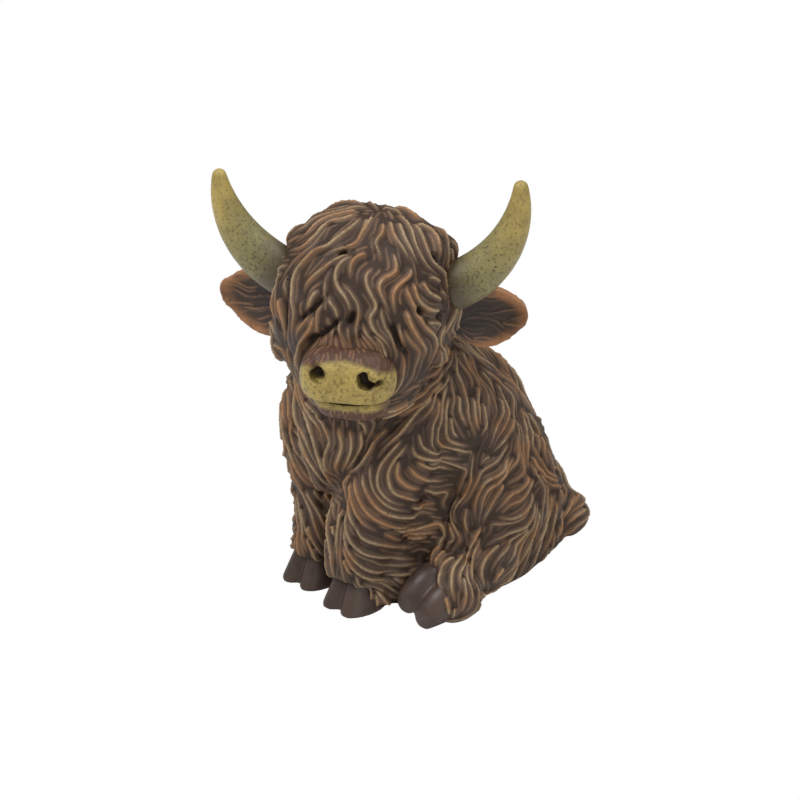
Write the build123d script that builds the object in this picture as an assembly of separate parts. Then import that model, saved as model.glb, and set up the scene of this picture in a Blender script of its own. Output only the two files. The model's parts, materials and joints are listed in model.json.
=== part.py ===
from build123d import *

import os
from dataclasses import dataclass, replace
from math import copysign, cos, radians, sin, tau

# A sitting long-haired cow ornament, cast in resin as separate pieces that are glued together at pegs,
# pins and fitted faces. Sizes are millimetres and angles are degrees. The cow's body faces -Y and sits
# on Z = 0, its left side is +X, and its head is turned to its left.


@dataclass(frozen=True)
class Ring:
    """A level oval that a casting passes through: its height, its centre and its size across X and Y.

    Where hair runs down the casting, sweep is how far it is combed towards the back there.
    """

    z: float
    x: float
    y: float
    width: float
    length: float
    sweep: float = 0.0


# The main locks of hair that run down the torso and the thighs
COAT_LOCKS = 18  # how many there are round a ring
COAT_LOCK_HEIGHT = 2.2
LOCK_SIZES = (1.0, 0.65, 0.85)  # of one lock after another
LOCK_SECTION = (0.45, -0.55)  # a lock's back and the groove beside it, as shares of its height

# Fits between the castings
BOND = 0.15  # glue line between two castings
PEG_FIT = 0.1  # radial clearance of a peg or pin in its hole
HOLE_END = 0.4  # space left for glue at the bottom of each hole
PEG_ROOT = 2.0  # how far a peg reaches into the piece it is cast on
PEG_SKIN = 1.2  # wall left behind a hole in the torso

# Torso shell, open underneath
TORSO_WALL = 5.0
TORSO_ROOF = 9.0  # solid thickness under the neck
TORSO_FLOOR = Ring(z=0, x=0, y=14, width=56, length=66, sweep=14)
TORSO_BELLY = Ring(z=18, x=0, y=10, width=65, length=78, sweep=12)
TORSO_CHEST = Ring(z=42, x=0, y=2, width=69, length=84, sweep=2)
TORSO_SHOULDER = Ring(z=64, x=0, y=-7, width=65, length=70, sweep=-3)
TORSO_WITHERS = Ring(z=80, x=0, y=-14, width=54, length=52, sweep=-12)
TORSO_NECK = Ring(z=92, x=0, y=-19, width=38, length=38, sweep=-14)
TORSO_RINGS = (TORSO_FLOOR, TORSO_BELLY, TORSO_CHEST, TORSO_SHOULDER, TORSO_WITHERS, TORSO_NECK)

# Closing plate and felt, both set into a rebate in the torso's foot
RIM_WIDTH = 2.5
PLATE_THICKNESS = 3.0
FELT_THICKNESS = 1.0

# Chest mane, a bib of hair that ends in a point between the front legs
MANE_TOP = Ring(z=76, x=1, y=-33, width=42, length=22)
MANE_MIDDLE = Ring(z=62, x=1, y=-38, width=34, length=22)
MANE_LOW = Ring(z=48, x=0, y=-40, width=20, length=18)
MANE_TIP = Ring(z=37, x=0, y=-42, width=5, length=7)
MANE_RINGS = (MANE_TIP, MANE_LOW, MANE_MIDDLE, MANE_TOP)

# Front legs: the right one stands a little further back than the left one
HOOF_HEIGHT = 11.0
FRONT_LEG_LEFT = (
    Ring(z=HOOF_HEIGHT + BOND, x=13, y=-41, width=21, length=22),
    Ring(z=28, x=14, y=-38.5, width=25, length=26),
    Ring(z=48, x=16, y=-31, width=30, length=31),
    Ring(z=70, x=15, y=-21, width=22, length=24),
)
FRONT_LEG_RIGHT = (
    Ring(z=HOOF_HEIGHT + BOND, x=-10, y=-38, width=20, length=21),
    Ring(z=28, x=-10.5, y=-35, width=22, length=23),
    Ring(z=48, x=-14.5, y=-30, width=28, length=29),
    Ring(z=70, x=-17, y=-25, width=25, length=27),
)
FRONT_LEG_RINGS = {"left": FRONT_LEG_LEFT, "right": FRONT_LEG_RIGHT}

# Hind legs, given for the left one: a thigh that rests on the floor and a shin that reaches forward
THIGH_FLOOR = Ring(z=0, x=26.5, y=7, width=29, length=66, sweep=-14)
THIGH_LOW = Ring(z=15, x=26.5, y=8, width=33, length=72, sweep=-10)
THIGH_MIDDLE = Ring(z=34, x=24, y=7, width=32, length=57, sweep=4)
THIGH_HIGH = Ring(z=50, x=20.5, y=5, width=24, length=36, sweep=8)
THIGH_TOP = Ring(z=60, x=18, y=4, width=12, length=18, sweep=8)
THIGH_RINGS = (THIGH_FLOOR, THIGH_LOW, THIGH_MIDDLE, THIGH_HIGH, THIGH_TOP)
SHIN_RADIUS = 9.5
SHIN_AXIS_Z = 8.0  # below the shin's radius, so that the shin is flat where it rests on the floor
SHIN_BACK_X = 31.0
SHIN_BACK_Y = 4.0
HIND_FOOT_X = {"left": 35.5, "right": 27.5}
THIGH_TUCK = {"left": 0.0, "right": 11.0}  # how much shorter the thigh is in front
SHIN_SET_BACK = {"left": 1.0, "right": 3.0}  # from the thigh's front to the shin's end, where the hoof begins
THIGH_FRONT_Y = THIGH_LOW.y - THIGH_LOW.length / 2
THIGH_BACK_Y = THIGH_LOW.y + THIGH_LOW.length / 2

# Hooves: two claws side by side, with a cleft between them
CLAW_WIDTH = 10.4
CLAW_LENGTH = 20.0
CLAW_SPACING = 8.6
HOOF_TOP_SHARE = 0.72  # size of the hoof's top to that of its sole
HOOF_LEAN = 2.5  # how far the top of the hoof lies behind its sole
HIND_CLAW_REACH = 13.0  # from the shin's end to the toes
HIND_KNUCKLE_REACH = 8.0  # from the shin's end to where the claw begins to narrow
HIND_CLAW_HEIGHT = 15.0
HIND_KNUCKLE_HEIGHT = 13.0
HIND_TOE_HEIGHT = 6.5
HIND_TOE_WIDTH = 7.0
HIND_HOOF_ROLL = 18.0  # the sitting cow rolls its hind hooves onto their outer claws

# Pegs cast on the legs, hooves, tail, ears and muzzle
LEG_PEG_RADIUS = 3.5
HOOF_PEG_RADIUS = 3.0
HOOF_PEG_LENGTH = 6.0
HIND_PEG_LENGTH = 4.0
TAIL_PEG_RADIUS = 2.5
EAR_PEG_RADIUS = 2.0
EAR_PEG_LENGTH = 6.0
MUZZLE_PEG_RADIUS = 3.5
MUZZLE_PEG_LENGTH = 7.0

# Tail: a stem from the rump round to the left, and the tuft that lies on the floor
RUMP_Y = TORSO_BELLY.y + TORSO_BELLY.length / 2
TAIL_ROOT = Vector(2, RUMP_Y - 8, 26)
TAIL_BEND = Vector(8, RUMP_Y + 1.5, 18.5)
TAIL_SIDE = Vector(16.5, RUMP_Y, 13)
TAIL_END = Vector(24, THIGH_BACK_Y + 2, 10)
TAIL_ROOT_RADIUS = 5.5
TAIL_END_RADIUS = 5.5
TUFT_MIDDLE = Vector(30, THIGH_BACK_Y - 1.5, 8.5)
TUFT_TIP = Vector(34, THIGH_BACK_Y - 8, 5)
TUFT_RADIUS = 9.0
TUFT_TIP_RADIUS = 4.0

# Head: a ball with a jaw below its face, in its own frame with the face towards -Y
HEAD_CENTRE = Vector(4, -28, 103)
HEAD_TURN = 33.0
HEAD_RADIUS = 29.5
JAW_RADIUS = 23.5
JAW_FORWARD = 9.5
JAW_DROP = 12.5
NECK_DOWEL_RADIUS = 5.0
NECK_DOWEL_UP = 16.0
NECK_DOWEL_DOWN = TORSO_ROOF - PEG_SKIN - HOLE_END

# Forelock: a shell of hair over the brow, cut into hanging locks
FORELOCK_THICKNESS = 2.6
FORELOCK_HALF_WIDTH = 26.0
FORELOCK_LOCKS = 7
FORELOCK_SIDE_Z = -16.0  # where the locks part at the cheeks, from the head's centre
FORELOCK_MIDDLE_Z = 3.0  # where they part over the nose
LOCK_DEPTH = 5.0
FORELOCK_BACK = 6.0  # behind the head's centre, at the crown

# Muzzle and lower lip
MUZZLE_HALF_WIDTH = 15.5
MUZZLE_RADIUS = 10.5
MUZZLE_FORWARD = 30.5
MUZZLE_DROP = 14.0
NOSTRIL_SPACING = 16.5
NOSTRIL_RADIUS = 2.6
NOSTRIL_DEPTH = 3.5
NOSTRIL_RISE = 3.5  # above the muzzle's middle
NOSTRIL_SPLAY = 25.0
NOSTRIL_TIP = 20.0
MOUTH_DROP = 19.5  # height of the mouth below the head's centre
MOUTH_GAP = 0.8
LIP_HALF_WIDTH = 12.5
LIP_RADIUS = 8.0
LIP_FORWARD = 27.5
LIP_DROP = 21.0

# Horns: each a round taper on one arc, in the plane across the head
HORN_SEAT_ANGLE = 14.5  # of its root on the head, above the head's centre
HORN_START_ANGLE = 27.0
HORN_BEND_RADIUS = 38.0
HORN_LENGTH = {"left": 43.0, "right": 39.5}
HORN_ROOT_RADIUS = 7.0
HORN_TIP_RADIUS = 1.6
HORN_TAPER = 1.7  # above 1, the horn stays thick near its root
HORN_INSET = 6.0  # how far the arc is carried on into the head, before it is cut to the seat
HORN_PIN_RADIUS = 1.5
HORN_PIN_IN_HEAD = 12.0
HORN_PIN_IN_HORN = 12.0

# Ears: cupped leaves, open to the front
EAR_LENGTH = 25.0
EAR_WIDTH = 18.0
EAR_ROOT_WIDTH = 9.0
EAR_WIDEST = 11.0  # how far from its root the ear is widest
EAR_TIP_WIDTH = 9.0
EAR_TIP_LENGTH = 3.0
EAR_THICKNESS = 3.2
EAR_CUP_RADIUS = 21.0
EAR_SEAT_ANGLE = -14.0  # of its root on the head, above the head's centre
EAR_BACK_ANGLE = 18.0  # of its root, behind the line across the head
EAR_DROOP = -2.0
EAR_INSET = 2.0

RING_POINTS = 12  # points that an oval's curve passes through
RING_START = tau / 9  # where an oval's curve starts, clear of the pegs
BALL_TILT = 45.0  # of a ball's poles, towards the brow
TUBE_STEPS = 8  # sections along a horn
SIDES = {"left": 1, "right": -1}
STANDING = (Align.CENTER, Align.CENTER, Align.MIN)
HANGING = (Align.CENTER, Align.CENTER, Align.MAX)


def oval(ring, grow=0.0, relief=(0.0,) * RING_POINTS):
    """The face of a ring, swollen all round by grow, and by the relief at even steps round it."""
    points = []
    for i, rise in enumerate(relief):
        turn = RING_START + tau * i / len(relief)
        turn += radians(ring.sweep) * cos(turn)
        across = ring.width / 2 + grow + rise
        along = ring.length / 2 + grow + rise
        points.append((ring.x + across * cos(turn), ring.y + along * sin(turn), ring.z))
    return make_face(Spline(points, periodic=True))


def stack(rings, grow=0.0):
    """The solid that passes through level rings, from the lowest up, swollen on every side by grow."""
    lowest = replace(rings[0], z=rings[0].z - grow)
    highest = replace(rings[-1], z=rings[-1].z + grow)
    return loft([oval(ring, grow) for ring in (lowest, *rings[1:-1], highest)])


def hairy_stack(rings, grow=0.0):
    """A stack with locks of hair down it, which fade out at its lowest and its highest ring."""
    sizes = LOCK_SIZES * (COAT_LOCKS // len(LOCK_SIZES))
    locks = [COAT_LOCK_HEIGHT * size * share for size in sizes for share in LOCK_SECTION]
    smooth = [0.0] * len(locks)
    lowest = replace(rings[0], z=rings[0].z - grow)
    highest = replace(rings[-1], z=rings[-1].z + grow)
    middle = [oval(ring, grow, locks) for ring in rings[1:-1]]
    return loft([oval(lowest, grow, smooth), *middle, oval(highest, grow, smooth)])


def on_side(rings, side):
    """The rings of the left leg, moved to the side that is asked for."""
    return tuple(replace(ring, x=SIDES[side] * ring.x) for ring in rings)


def tube(points, radii, grow=0.0):
    """The solid through circles that stand square to the line through the points."""
    line = Spline(points)
    shares = [line.param_at_point(point) for point in points]
    planes = [Plane(line.position_at(s), z_dir=line.tangent_at(s)) for s in shares]
    return loft([plane * Circle(radius + grow) for plane, radius in zip(planes, radii)])


def rod(start, end, radius):
    """A round bar from start to end."""
    way = Vector(end) - Vector(start)
    return Plane(start, z_dir=way) * Cylinder(radius, way.length, align=STANDING)


def ball(radius):
    """A sphere whose poles and seam lie away from the places where pieces meet it."""
    return Rotation(BALL_TILT, 0, 0) * Rotation(0, 0, 90) * Sphere(radius)


def pill(half_width, radius):
    """A round bar along X with round ends."""
    upper = Rectangle(2 * half_width, radius, align=(Align.CENTER, Align.MIN))
    return revolve(SlotOverall(2 * half_width, 2 * radius) & upper, Axis.X)


def entry(form, start, end):
    """Where a straight line from start to end first meets a form."""
    inside = Line(start, end) & form
    return min((Vector(*v) for v in inside.vertices()), key=lambda point: (point - Vector(start)).length)


def above_floor(shape):
    """What of a shape is above the floor."""
    box = shape.bounding_box()
    room = Box(box.size.X + 2, box.size.Y + 2, box.max.Z + 1, align=STANDING)
    return shape & Pos(box.center().X, box.center().Y, 0) * room


def largest(shape):
    """The biggest solid of a cut shape, without the loose corners that cutting leaves."""
    return Part() + max(shape.solids(), key=lambda solid: solid.volume)


# Whole forms, before the pieces are cut to each other


def torso_core():
    """The torso without its hair, which the pegs are set from."""
    return stack(TORSO_RINGS)


def torso_form(grow=0.0):
    return hairy_stack(TORSO_RINGS, grow)


def mane_form(grow=0.0):
    return stack(MANE_RINGS, grow)


def front_leg_form(side, grow=0.0):
    return stack(FRONT_LEG_RINGS[side], grow)


def hind_foot(side):
    """The middle of the shin's front end."""
    y = THIGH_FRONT_Y + THIGH_TUCK[side] + SHIN_SET_BACK[side]
    return Vector(SIDES[side] * HIND_FOOT_X[side], y, SHIN_AXIS_Z)


def hind_leg_form(side, grow=0.0):
    """The thigh and the shin that reaches forward from it along the floor."""
    tuck = THIGH_TUCK[side]
    thigh = tuple(replace(ring, y=ring.y + tuck / 2, length=ring.length - tuck) for ring in THIGH_RINGS)
    back = Vector(SIDES[side] * SHIN_BACK_X, SHIN_BACK_Y, SHIN_AXIS_Z)
    front = hind_foot(side)
    ahead = (front - back).normalized()
    return hairy_stack(on_side(thigh, side), grow) + rod(back, front + ahead * grow, SHIN_RADIUS + grow)


def tail_form(grow=0.0):
    points = (TAIL_ROOT, TAIL_BEND, TAIL_SIDE, TAIL_END)
    middle = (TAIL_ROOT_RADIUS + TAIL_END_RADIUS) / 2
    return tube(points, (TAIL_ROOT_RADIUS, middle, middle, TAIL_END_RADIUS), grow)


def tuft_form(grow=0.0):
    points = (TAIL_END, TUFT_MIDDLE, TUFT_TIP)
    return tube(points, (TAIL_END_RADIUS, TUFT_RADIUS, TUFT_TIP_RADIUS), grow)


def head_form(grow=0.0):
    return ball(HEAD_RADIUS + grow) + Pos(0, -JAW_FORWARD, -JAW_DROP) * ball(JAW_RADIUS + grow)


def muzzle_form(grow=0.0):
    return Pos(0, -MUZZLE_FORWARD, -MUZZLE_DROP) * pill(MUZZLE_HALF_WIDTH + grow, MUZZLE_RADIUS + grow)


def placed_on_head(shape):
    """A shape in the head's own frame, moved to where the head is."""
    return Location(HEAD_CENTRE, (0, 0, HEAD_TURN)) * shape


# Body


def front_hoof():
    """A cloven hoof on the floor at the origin, with its toes towards -Y and a peg on its top."""
    peg_end = (0, HOOF_LEAN, HOOF_HEIGHT + HOOF_PEG_LENGTH)
    claws = rod((0, HOOF_LEAN, HOOF_HEIGHT / 2), peg_end, HOOF_PEG_RADIUS)
    for x in (-CLAW_SPACING / 2, CLAW_SPACING / 2):
        sole = Ring(z=0, x=x, y=0, width=CLAW_WIDTH, length=CLAW_LENGTH)
        top = Ring(
            z=HOOF_HEIGHT,
            x=x * HOOF_TOP_SHARE,
            y=HOOF_LEAN,
            width=CLAW_WIDTH * HOOF_TOP_SHARE,
            length=CLAW_LENGTH * HOOF_TOP_SHARE,
        )
        claws += stack((sole, top))
    return claws


def hind_claws():
    """Two claws that lie on the floor and reach from the origin towards -Y, lower at the toes."""
    claws = Part()
    for x in (-CLAW_SPACING / 2, CLAW_SPACING / 2):
        sections = (
            (-SHIN_RADIUS / 2, CLAW_WIDTH, HIND_CLAW_HEIGHT),
            (HIND_KNUCKLE_REACH, CLAW_WIDTH, HIND_KNUCKLE_HEIGHT),
            (HIND_CLAW_REACH, HIND_TOE_WIDTH, HIND_TOE_HEIGHT),
        )
        rings = [Ring(z=ahead, x=x, y=high / 2, width=wide, length=high) for ahead, wide, high in sections]
        claws += Rotation(90, 0, 0) * stack(rings)
    return claws


def build_front_hoof(side):
    cuff = FRONT_LEG_RINGS[side][0]
    return Pos(cuff.x, cuff.y - HOOF_LEAN, 0) * front_hoof()


def wall_hole_depth(clearance):
    """How deep a peg goes into the torso's wall, or how deep its hole is when there is clearance."""
    return TORSO_WALL - PEG_SKIN - (0 if clearance else HOLE_END)


def front_leg_peg(side, core, clearance=0.0):
    """The peg that locates a front leg in the torso's wall, or its hole when there is clearance."""
    cuff, knee, elbow, top = FRONT_LEG_RINGS[side]
    start = Vector(elbow.x, elbow.y - elbow.length / 3, elbow.z)
    seat = entry(core, start, start + Vector(0, elbow.length, 0))
    return rod(start, seat + Vector(0, wall_hole_depth(clearance), 0), LEG_PEG_RADIUS + clearance)


def build_front_leg(side, core):
    leg = front_leg_form(side) - torso_form(BOND) - mane_form(BOND) - placed_on_head(head_form(BOND))
    leg = largest(leg) + front_leg_peg(side, core)
    cuff = FRONT_LEG_RINGS[side][0]
    hole_top = HOOF_HEIGHT + HOOF_PEG_LENGTH + HOLE_END
    return leg - rod((cuff.x, cuff.y, 0), (cuff.x, cuff.y, hole_top), HOOF_PEG_RADIUS + PEG_FIT)


def hind_hoof_peg(side, clearance=0.0):
    foot = hind_foot(side)
    depth = HIND_PEG_LENGTH + (HOLE_END if clearance else 0)
    return rod(foot - Vector(0, PEG_ROOT, 0), foot + Vector(0, depth, 0), HOOF_PEG_RADIUS + clearance)


def build_hind_hoof(side):
    """A hoof in front of the shin, rolled onto its outer claw and flat where it meets the floor."""
    foot = hind_foot(side)
    roll = Rotation(0, SIDES[side] * HIND_HOOF_ROLL, 0)
    lift = CLAW_SPACING / 2 * sin(radians(HIND_HOOF_ROLL))
    claws = above_floor(Pos(foot.X, foot.Y, lift) * roll * hind_claws())
    claws = largest(claws - hind_leg_form(side, BOND) - front_leg_form(side, BOND))
    return largest(claws + hind_hoof_peg(side) - torso_form(BOND))


def hind_leg_peg(side, core, clearance=0.0):
    """The peg that locates a thigh in the torso's wall, or its hole when there is clearance."""
    sign = SIDES[side]
    middle = on_side((THIGH_MIDDLE,), side)[0]
    start = Vector(middle.x + sign * middle.width / 2, middle.y, middle.z)
    seat = entry(core, start, Vector(0, middle.y, middle.z))
    inward = Vector(-sign, 0, 0)
    end = seat + inward * wall_hole_depth(clearance)
    return rod(seat - inward * PEG_ROOT, end, LEG_PEG_RADIUS + clearance)


def build_hind_leg(side, core):
    leg = above_floor(hind_leg_form(side)) - torso_form(BOND) - front_leg_form(side, BOND)
    leg = largest(leg) + hind_leg_peg(side, core)
    return leg - hind_hoof_peg(side, PEG_FIT)


def tail_peg(core, clearance=0.0):
    inward = (TAIL_ROOT - TAIL_BEND).normalized()
    seat = entry(core, TAIL_BEND, TAIL_ROOT + inward * TAIL_ROOT_RADIUS)
    end = seat + inward * wall_hole_depth(clearance)
    return rod(seat - inward * PEG_ROOT, end, TAIL_PEG_RADIUS + clearance)


def build_tail(core):
    tail = tail_form() - torso_form(BOND)
    for side in SIDES:
        tail -= hind_leg_form(side, BOND)
    return largest(tail) + tail_peg(core)


def build_tail_tuft():
    tuft = above_floor(tuft_form()) - torso_form(BOND) - hind_leg_form("left", BOND) - tail_form(BOND)
    return largest(tuft)


def build_mane():
    return largest(mane_form() - torso_form(BOND) - placed_on_head(head_form(BOND) + lip_form(BOND)))


def build_torso(core):
    """The hollow body, with a rebate in its foot and holes for everything that is pegged to it."""
    roof = replace(TORSO_NECK, z=TORSO_NECK.z - TORSO_ROOF + TORSO_WALL)
    cavity = stack((TORSO_FLOOR, TORSO_BELLY, TORSO_CHEST, TORSO_SHOULDER, roof), -TORSO_WALL)
    mouth = extrude(oval(TORSO_FLOOR, -TORSO_WALL), TORSO_BELLY.z)
    rebate = extrude(oval(TORSO_FLOOR, -RIM_WIDTH), PLATE_THICKNESS + FELT_THICKNESS)
    shell = torso_form() - cavity - mouth - rebate - neck_dowel(PEG_FIT)
    for side in SIDES:
        shell = shell - front_leg_peg(side, core, PEG_FIT) - hind_leg_peg(side, core, PEG_FIT)
    return shell - tail_peg(core, PEG_FIT)


def build_plate():
    return Pos(0, 0, FELT_THICKNESS) * extrude(oval(TORSO_FLOOR, -RIM_WIDTH - BOND), PLATE_THICKNESS - BOND)


def build_felt():
    return extrude(oval(TORSO_FLOOR, -RIM_WIDTH - BOND), FELT_THICKNESS)


# Head


def neck_dowel(clearance=0.0):
    seat = Vector(TORSO_NECK.x, TORSO_NECK.y, TORSO_NECK.z)
    end = HOLE_END if clearance else 0
    return rod(
        seat - Vector(0, 0, NECK_DOWEL_DOWN + end),
        seat + Vector(0, 0, NECK_DOWEL_UP + end),
        NECK_DOWEL_RADIUS + clearance,
    )


def horn_arc(along, side):
    """A point on a horn's centre line, at a length along it from its seat on the head."""
    start = radians(HORN_START_ANGLE)
    angle = start + along / HORN_BEND_RADIUS
    seat = radians(HORN_SEAT_ANGLE)
    x = HEAD_RADIUS * cos(seat) + HORN_BEND_RADIUS * (sin(angle) - sin(start))
    z = HEAD_RADIUS * sin(seat) + HORN_BEND_RADIUS * (cos(start) - cos(angle))
    return Vector(SIDES[side] * x, 0, z)


def horn_form(side, grow=0.0):
    """The taper from inside the head to the rounded tip."""
    length = HORN_LENGTH[side]
    stations = [-HORN_INSET + (length + HORN_INSET) * i / TUBE_STEPS for i in range(TUBE_STEPS + 1)]
    thinning = HORN_ROOT_RADIUS - HORN_TIP_RADIUS
    radii = [HORN_ROOT_RADIUS - thinning * (max(along, 0) / length) ** HORN_TAPER for along in stations]
    tip = Pos(*horn_arc(length, side)) * Sphere(HORN_TIP_RADIUS + grow)
    return tube([horn_arc(along, side) for along in stations], radii, grow) + tip


def horn_pin(side, clearance=0.0):
    """The steel pin through a horn's seat, or its hole when there is clearance."""
    seat = horn_arc(0, side)
    angle = radians(HORN_START_ANGLE)
    out = Vector(SIDES[side] * cos(angle), 0, sin(angle))
    end = HOLE_END if clearance else 0
    inner = seat - out * (HORN_PIN_IN_HEAD + end)
    outer = seat + out * (HORN_PIN_IN_HORN + end)
    return rod(inner, outer, HORN_PIN_RADIUS + clearance)


def build_horn(side):
    return largest(horn_form(side) - head_form(BOND)) - horn_pin(side, PEG_FIT)


def ear_place():
    """Where the left ear's own frame sits on the head, with its length along +X."""
    reach = HEAD_RADIUS - EAR_INSET
    rise = radians(EAR_SEAT_ANGLE)
    seat = Pos(reach * cos(rise), 0, reach * sin(rise))
    return Rotation(0, 0, EAR_BACK_ANGLE) * seat * Rotation(0, EAR_DROOP, 0)


def mirrored(shape, side):
    return shape if SIDES[side] > 0 else mirror(shape, Plane.YZ)


def ear_peg(clearance=0.0):
    end = HOLE_END if clearance else 0
    middle = EAR_THICKNESS / 2
    inner = -EAR_PEG_LENGTH - end
    return rod((EAR_INSET + PEG_ROOT, middle, 0), (inner, middle, 0), EAR_PEG_RADIUS + clearance)


def ear_leaf():
    """A leaf outline cut from a round bowl, so that it is hollow on the front."""
    high, low, tip = EAR_WIDTH / 2, EAR_ROOT_WIDTH / 2, EAR_TIP_WIDTH / 2
    shoulder = EAR_LENGTH - EAR_TIP_LENGTH
    outline = make_face(
        ThreePointArc((0, low), (EAR_WIDEST, high), (shoulder, tip))
        + ThreePointArc((shoulder, tip), (EAR_LENGTH, 0), (shoulder, -tip))
        + ThreePointArc((shoulder, -tip), (EAR_WIDEST, -high), (0, -low))
        + Line((0, -low), (0, low))
    )
    prism = extrude(Plane.XZ * outline, EAR_CUP_RADIUS, both=True)
    middle = Pos(EAR_WIDEST, -EAR_CUP_RADIUS, 0)
    return prism & (middle * Sphere(EAR_CUP_RADIUS + EAR_THICKNESS) - middle * Sphere(EAR_CUP_RADIUS))


def build_ear(side):
    leaf = ear_place() * ear_leaf() - head_form(BOND) - horn_form("left", BOND)
    return mirrored(largest(leaf) + ear_place() * ear_peg(), side)


def muzzle_peg(clearance=0.0):
    front = Vector(0, -MUZZLE_FORWARD - MUZZLE_RADIUS, -MUZZLE_DROP)
    seat = entry(head_form(), front, (0, 0, -MUZZLE_DROP))
    depth = MUZZLE_PEG_LENGTH + (HOLE_END if clearance else 0)
    return rod((seat + front) / 2, seat + Vector(0, depth, 0), MUZZLE_PEG_RADIUS + clearance)


def nostril(x):
    """A round pit that slants out to the side, into the front of the muzzle."""
    z = NOSTRIL_RISE - MUZZLE_DROP
    mouth = entry(muzzle_form(), (x, -MUZZLE_FORWARD - 2 * MUZZLE_RADIUS, z), (x, -MUZZLE_FORWARD, z))
    pit = rod((0, -NOSTRIL_DEPTH, 0), (0, NOSTRIL_DEPTH, 0), NOSTRIL_RADIUS)
    return Pos(*mouth) * Rotation(-NOSTRIL_TIP, 0, copysign(NOSTRIL_SPLAY, x)) * pit


def build_muzzle():
    """The nose pad, flat along the mouth."""
    below = Pos(0, 0, -MOUTH_DROP) * Box(4 * HEAD_RADIUS, 4 * HEAD_RADIUS, HEAD_RADIUS, align=HANGING)
    pad = largest(muzzle_form() - head_form(BOND) - below) + muzzle_peg()
    for x in (-NOSTRIL_SPACING / 2, NOSTRIL_SPACING / 2):
        pad -= nostril(x)
    return pad


def lip_form(grow=0.0):
    return Pos(0, -LIP_FORWARD, -LIP_DROP) * pill(LIP_HALF_WIDTH + grow, LIP_RADIUS + grow)


def build_lip():
    """The lower lip and chin, under the mouth."""
    above = Box(4 * HEAD_RADIUS, 4 * HEAD_RADIUS, HEAD_RADIUS, align=STANDING)
    return largest(lip_form() - head_form(BOND) - Pos(0, 0, -MOUTH_DROP - MOUTH_GAP) * above)


def forelock_outline():
    """The front view of the forelock: straight above, and a row of pointed locks below."""
    reach = HEAD_RADIUS + FORELOCK_THICKNESS + 1
    step = FORELOCK_HALF_WIDTH / FORELOCK_LOCKS
    points = [(-FORELOCK_HALF_WIDTH, reach), (FORELOCK_HALF_WIDTH, reach)]
    for i in range(2 * FORELOCK_LOCKS + 1):
        x = FORELOCK_HALF_WIDTH - i * step
        fall = (FORELOCK_MIDDLE_Z - FORELOCK_SIDE_Z) * (x / FORELOCK_HALF_WIDTH) ** 2
        point = LOCK_DEPTH if i % 2 else 0
        points.append((x, FORELOCK_MIDDLE_Z - fall - point))
    return make_face(Polyline(points, close=True))


def build_forelock():
    reach = HEAD_RADIUS + FORELOCK_THICKNESS + 1
    front = Pos(0, FORELOCK_BACK, 0) * extrude(Plane.XZ * forelock_outline(), reach + FORELOCK_BACK)
    lock = (ball(HEAD_RADIUS + FORELOCK_THICKNESS) & front) - head_form(BOND) - muzzle_form(BOND)
    for side in SIDES:
        lock -= horn_form(side, BOND)
    return largest(lock)


def build_head():
    head = placed_on_head(head_form()) - torso_form(BOND) - neck_dowel(PEG_FIT)
    holes = muzzle_peg(PEG_FIT)
    for side in SIDES:
        holes = holes + horn_pin(side, PEG_FIT) + mirrored(ear_place() * ear_peg(PEG_FIT), side)
    return largest(head - placed_on_head(holes))


def build_all():
    """Every piece by its name."""
    core = torso_core()
    pieces = {
        "torso_shell": build_torso(core),
        "base_plate": build_plate(),
        "base_felt": build_felt(),
        "chest_mane": build_mane(),
        "tail": build_tail(core),
        "tail_tuft": build_tail_tuft(),
        "head": build_head(),
        "neck_dowel": neck_dowel(),
        "forelock": largest(placed_on_head(build_forelock()) - torso_form(BOND)),
        "muzzle": placed_on_head(build_muzzle()),
        "lower_lip": placed_on_head(build_lip()),
        "horn_pins": placed_on_head(horn_pin("left") + horn_pin("right")),
    }
    for side in SIDES:
        pieces[f"front_leg_{side}"] = build_front_leg(side, core)
        pieces[f"front_hoof_{side}"] = build_front_hoof(side)
        pieces[f"hind_leg_{side}"] = build_hind_leg(side, core)
        pieces[f"hind_hoof_{side}"] = build_hind_hoof(side)
        pieces[f"horn_{side}"] = placed_on_head(build_horn(side))
        pieces[f"ear_{side}"] = placed_on_head(build_ear(side))
    return pieces


os.makedirs("parts", exist_ok=True)
for name, piece in build_all().items():
    export_step(piece, f"parts/{name}.step")
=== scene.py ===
import json
import math

import bmesh
import bpy
import numpy as np
from mathutils import Matrix, Vector
from mathutils.bvhtree import BVHTree
from mathutils.kdtree import KDTree


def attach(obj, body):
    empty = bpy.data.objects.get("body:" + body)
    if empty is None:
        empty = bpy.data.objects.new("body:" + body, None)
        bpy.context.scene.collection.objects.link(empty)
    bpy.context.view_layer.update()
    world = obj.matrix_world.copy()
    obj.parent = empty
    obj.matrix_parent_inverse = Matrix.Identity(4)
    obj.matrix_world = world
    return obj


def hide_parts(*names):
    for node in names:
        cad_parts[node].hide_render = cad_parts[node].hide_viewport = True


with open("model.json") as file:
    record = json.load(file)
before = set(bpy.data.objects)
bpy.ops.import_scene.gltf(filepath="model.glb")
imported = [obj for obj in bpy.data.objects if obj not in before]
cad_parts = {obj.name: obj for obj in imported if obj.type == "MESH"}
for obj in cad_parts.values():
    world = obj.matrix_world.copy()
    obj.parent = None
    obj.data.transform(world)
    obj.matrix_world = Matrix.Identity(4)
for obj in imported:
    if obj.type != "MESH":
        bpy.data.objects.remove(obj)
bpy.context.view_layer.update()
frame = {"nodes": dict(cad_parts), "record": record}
nodes = frame["nodes"]

# The camera that took the photograph, in metres and pixels
EYE = Vector((0.5775, -0.5872, 0.4404))
TARGET = Vector((0.0007, -0.0104, 0.060))
LENS = 120.2
SENSOR = 36.0
PHOTO_SIZE = 800

# Shapes are worked in millimetres and put into the scene in metres
MM = 0.001
UP = np.array([0.0, 0.0, 1.0])
SEED = 11

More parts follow.
